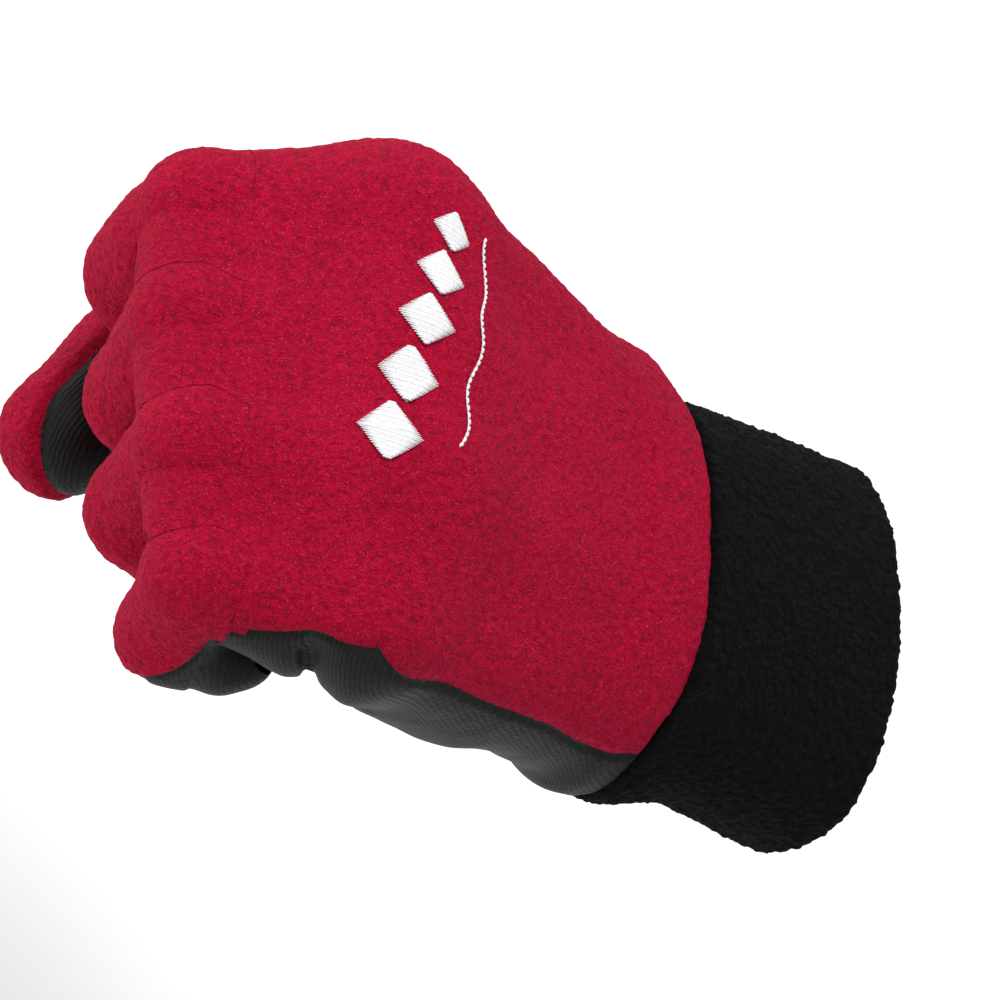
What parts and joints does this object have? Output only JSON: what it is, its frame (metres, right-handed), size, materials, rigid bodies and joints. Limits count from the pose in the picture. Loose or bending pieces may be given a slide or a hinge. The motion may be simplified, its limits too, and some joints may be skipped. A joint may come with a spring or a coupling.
{
  "type": "five-finger fleece glove",
  "caption": "Left-hand winter glove on a closed fist: fleece back and fingers, synthetic-leather palm, curly-pile knit cuff and an embroidered mark at the knuckles.",
  "frame": {"origin": "centre of the cuff opening, where the wrist goes in", "axes": "+X from the fingers towards the wrist along the back of the hand, +Y to the thumb side, +Z out of the back of the hand; the cuff itself points 13 degrees up and 5 degrees to the thumb side of +X"},
  "size_m": [0.1578, 0.1068, 0.1088],
  "materials": {
    "fleece_red": "brushed short-pile fleece",
    "leather_black": "embossed synthetic leather, low sheen",
    "boa_black": "curly-pile knit",
    "lining_black": "brushed tricot",
    "elastic_black": "covered elastic braid",
    "thread_white": "satin-stitch thread",
    "backing_white": "non-woven stabiliser"
  },
  "bodies": {
    "cuff": {"cuff_outer": "boa_black", "cuff_hem": "boa_black", "wrist_elastic": "elastic_black", "cuff_seam_allowance": "boa_black"},
    "hand": {"back_panel": "fleece_red", "back_lining": "lining_black", "palm_panel": "leather_black", "palm_lining": "lining_black", "thumb_root_back": "fleece_red", "thumb_root_palm": "leather_black"},
    "knuckles": {"knuckle_back": "fleece_red", "knuckle_palm": "leather_black", "knuckle_lining": "lining_black", "index_middle_fourchette": "fleece_red", "middle_ring_fourchette": "fleece_red", "ring_little_fourchette": "fleece_red", "embroidery": "thread_white", "embroidery_backing": "backing_white"},
    "index_finger": {"index_back": "fleece_red", "index_front": "leather_black", "index_ulnar_side": "fleece_red", "index_lining": "lining_black"},
    "middle_finger": {"middle_back": "fleece_red", "middle_front": "leather_black", "middle_radial_side": "fleece_red", "middle_ulnar_side": "fleece_red", "middle_lining": "lining_black"},
    "ring_finger": {"ring_back": "fleece_red", "ring_front": "leather_black", "ring_radial_side": "fleece_red", "ring_ulnar_side": "fleece_red", "ring_lining": "lining_black"},
    "little_finger": {"little_back": "fleece_red", "little_front": "leather_black", "little_radial_side": "fleece_red", "little_lining": "lining_black"},
    "thumb": {"thumb_back": "fleece_red", "thumb_front": "leather_black"},
    "thumb_end": {"thumb_tip_back": "fleece_red", "thumb_tip_front": "leather_black", "thumb_tip_lining": "lining_black"}
  },
  "joints": [
    {"name": "wrist_bend", "type": "hinge", "parent": "cuff", "child": "hand", "pos_m": [-0.0482, -0.00447, -0.01128], "axis": [0, 1, 0], "range_deg": [-12, 12]},
    {"name": "knuckle_fold", "type": "hinge", "parent": "hand", "child": "knuckles", "pos_m": [-0.113, -0.0033, -0.0093], "axis": [0, 1, 0], "range_deg": [0, 37.2]},
    {"name": "index_bend", "type": "hinge", "parent": "knuckles", "child": "index_finger", "pos_m": [-0.14094, 0.0196, -0.02988], "axis": [0, 1, 0], "range_deg": [0, 81.3]},
    {"name": "middle_bend", "type": "hinge", "parent": "knuckles", "child": "middle_finger", "pos_m": [-0.14086, -0.0033, -0.02982], "axis": [0, 1, 0], "range_deg": [0, 88]},
    {"name": "ring_bend", "type": "hinge", "parent": "knuckles", "child": "ring_finger", "pos_m": [-0.13829, -0.0262, -0.02825], "axis": [0, 1, 0], "range_deg": [0, 83.7]},
    {"name": "little_bend", "type": "hinge", "parent": "knuckles", "child": "little_finger", "pos_m": [-0.13226, -0.048, -0.02957], "axis": [0, 1, 0], "range_deg": [0, 88.8]},
    {"name": "thumb_swing", "type": "hinge", "parent": "hand", "child": "thumb", "pos_m": [-0.0855, 0.0327, -0.0413], "axis": [0.9084, 0.4047, -0.1049], "range_deg": [0, 65]},
    {"name": "thumb_bend", "type": "hinge", "parent": "thumb", "child": "thumb_end", "pos_m": [-0.1033, 0.0214, -0.0707], "axis": [0.8159, -0.4909, -0.3053], "range_deg": [0, 42]}
  ],
  "couplings": [
    {"joint": "index_bend", "follows": "knuckle_fold", "ratio": 2.1855},
    {"joint": "middle_bend", "follows": "knuckle_fold", "ratio": 2.3656},
    {"joint": "ring_bend", "follows": "knuckle_fold", "ratio": 2.25},
    {"joint": "thumb_swing", "follows": "knuckle_fold", "ratio": 1.7473},
    {"joint": "thumb_bend", "follows": "knuckle_fold", "ratio": 1.129}
  ]
}
